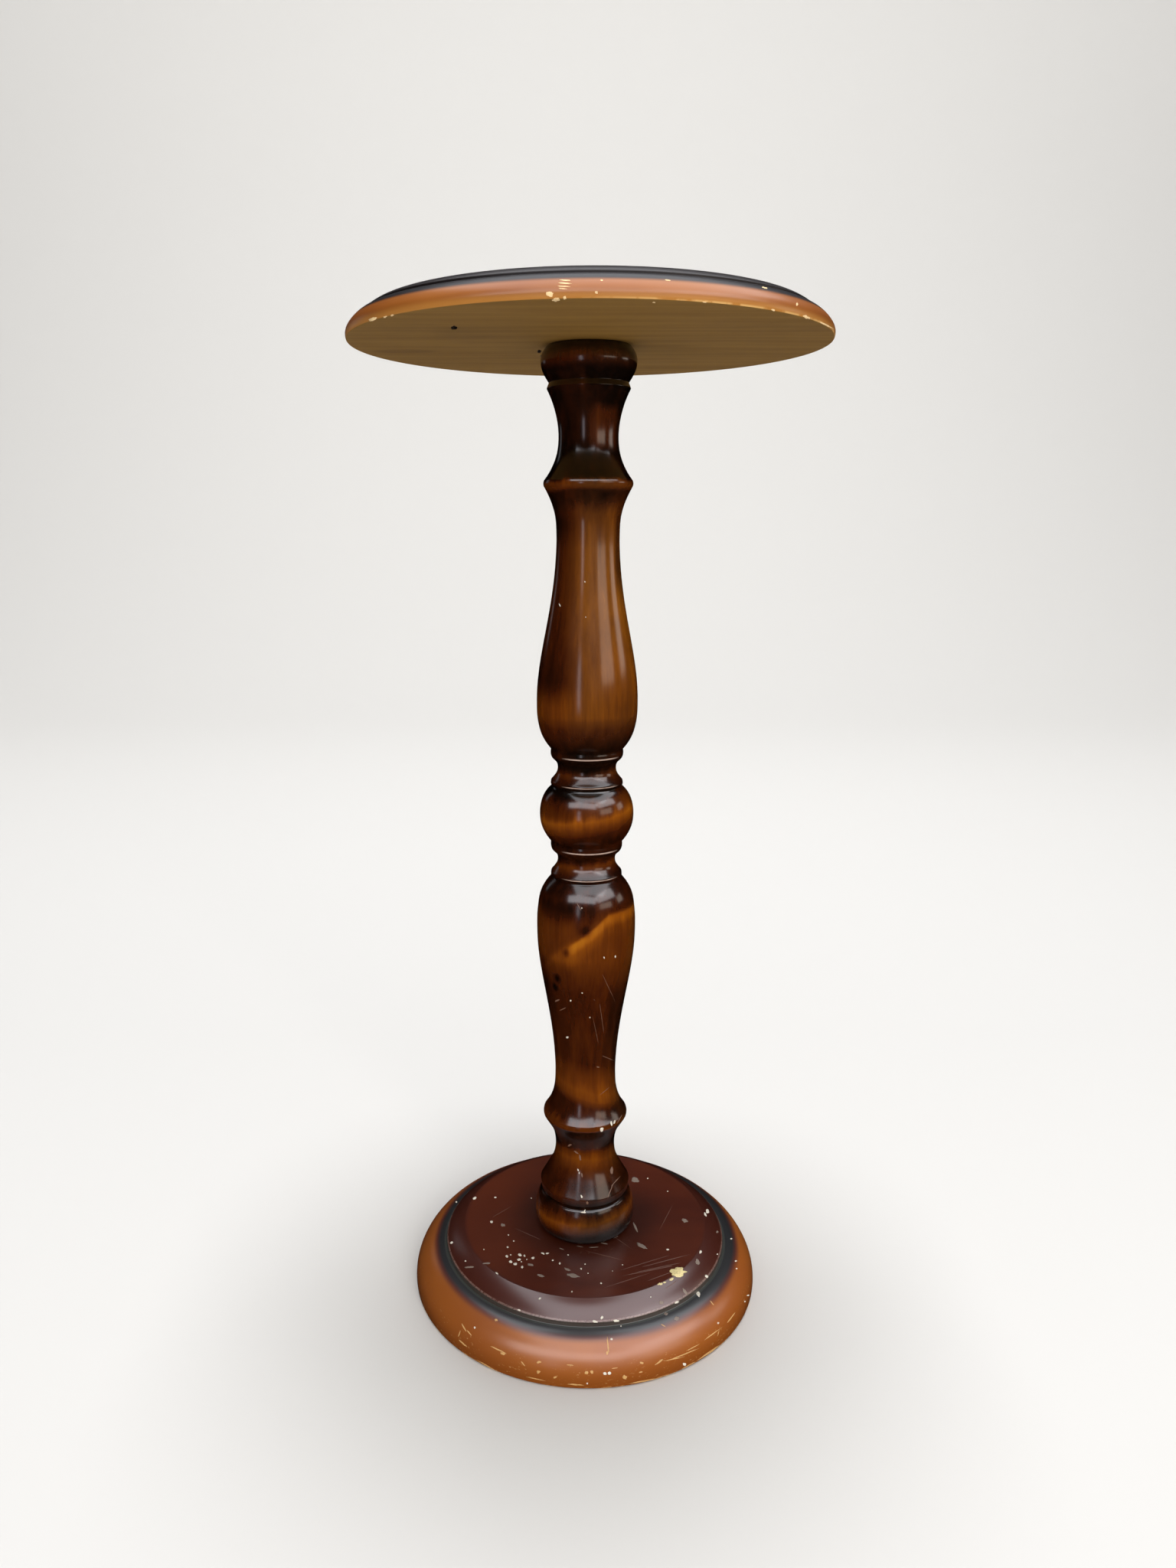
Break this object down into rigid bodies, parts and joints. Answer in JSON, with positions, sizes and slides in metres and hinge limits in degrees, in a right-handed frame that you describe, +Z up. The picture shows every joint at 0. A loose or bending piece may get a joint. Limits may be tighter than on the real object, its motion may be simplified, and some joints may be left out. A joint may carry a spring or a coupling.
{
  "type": "turned wooden pedestal stand",
  "caption": "Round wooden pedestal: a moulded base board, a turned baluster column and a moulded round top that carries a plant, bust or lamp.",
  "frame": {"origin": "centre of the base board's underside, on the floor", "axes": "+Z up along the turned axis; +X and +Y lie across the round boards"},
  "size_m": [0.305, 0.305, 0.6865],
  "materials": {
    "base_board": "red-brown lacquer on top, satin orange-brown edge with a sprayed dark ring, scuffed and spattered",
    "column": "gloss dark walnut lacquer, toned nearly black in the grooves and amber on the swells",
    "top_board": "red-brown lacquer on top, satin orange-brown edge with a sprayed dark ring, bare wood underneath"
  },
  "bodies": {
    "root": {"base_board": "base_board", "column": "column", "top_board": "top_board"}
  },
  "joints": []
}
